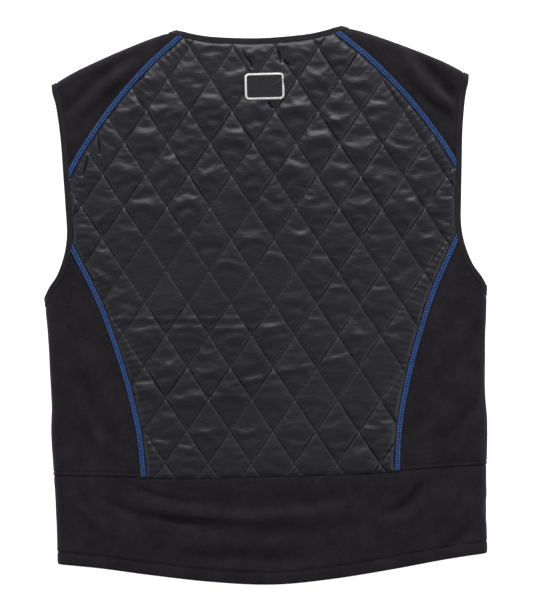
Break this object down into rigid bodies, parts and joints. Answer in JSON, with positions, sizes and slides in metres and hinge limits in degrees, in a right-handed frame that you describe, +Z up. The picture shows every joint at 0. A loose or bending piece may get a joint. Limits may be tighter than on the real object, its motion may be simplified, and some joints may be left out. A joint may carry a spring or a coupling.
{
  "type": "cooling vest",
  "caption": "Sleeveless cooling vest lying flat on its front, with a diamond-quilted back, jersey shoulders, sides and waistband, bound edges and raised seams.",
  "frame": {"origin": "on the floor below the middle of the vest's length, on its centre line", "axes": "+X across the vest to the right as seen from above with the neck away, +Y from the hem to the neck, +Z up from the floor"},
  "size_m": [0.5202, 0.6528, 0.0282],
  "materials": {
    "quilt": "quilted charcoal nylon taffeta with a slight shine",
    "jersey": "matte black brushed knit",
    "binding": "black ribbed knit binding",
    "seam_thread": "royal blue flatlock stitching",
    "zip": "black woven tape with moulded coil",
    "patch": "plain dark woven patch with a pale stitched edge"
  },
  "bodies": {
    "root": {"back_panel": "quilt", "front_panel_left": "quilt", "front_panel_right": "quilt", "yoke_left": "jersey", "yoke_right": "jersey", "side_panel_left": "jersey", "side_panel_right": "jersey", "waistband": "jersey", "neck_binding": "binding", "armhole_binding_left": "binding", "armhole_binding_right": "binding", "raglan_seam_left": "seam_thread", "raglan_seam_right": "seam_thread", "side_seam_left": "seam_thread", "side_seam_right": "seam_thread", "front_raglan_seam_left": "seam_thread", "front_raglan_seam_right": "seam_thread", "front_side_seam_left": "seam_thread", "front_side_seam_right": "seam_thread", "front_zip": "zip", "patch": "patch"}
  },
  "joints": []
}
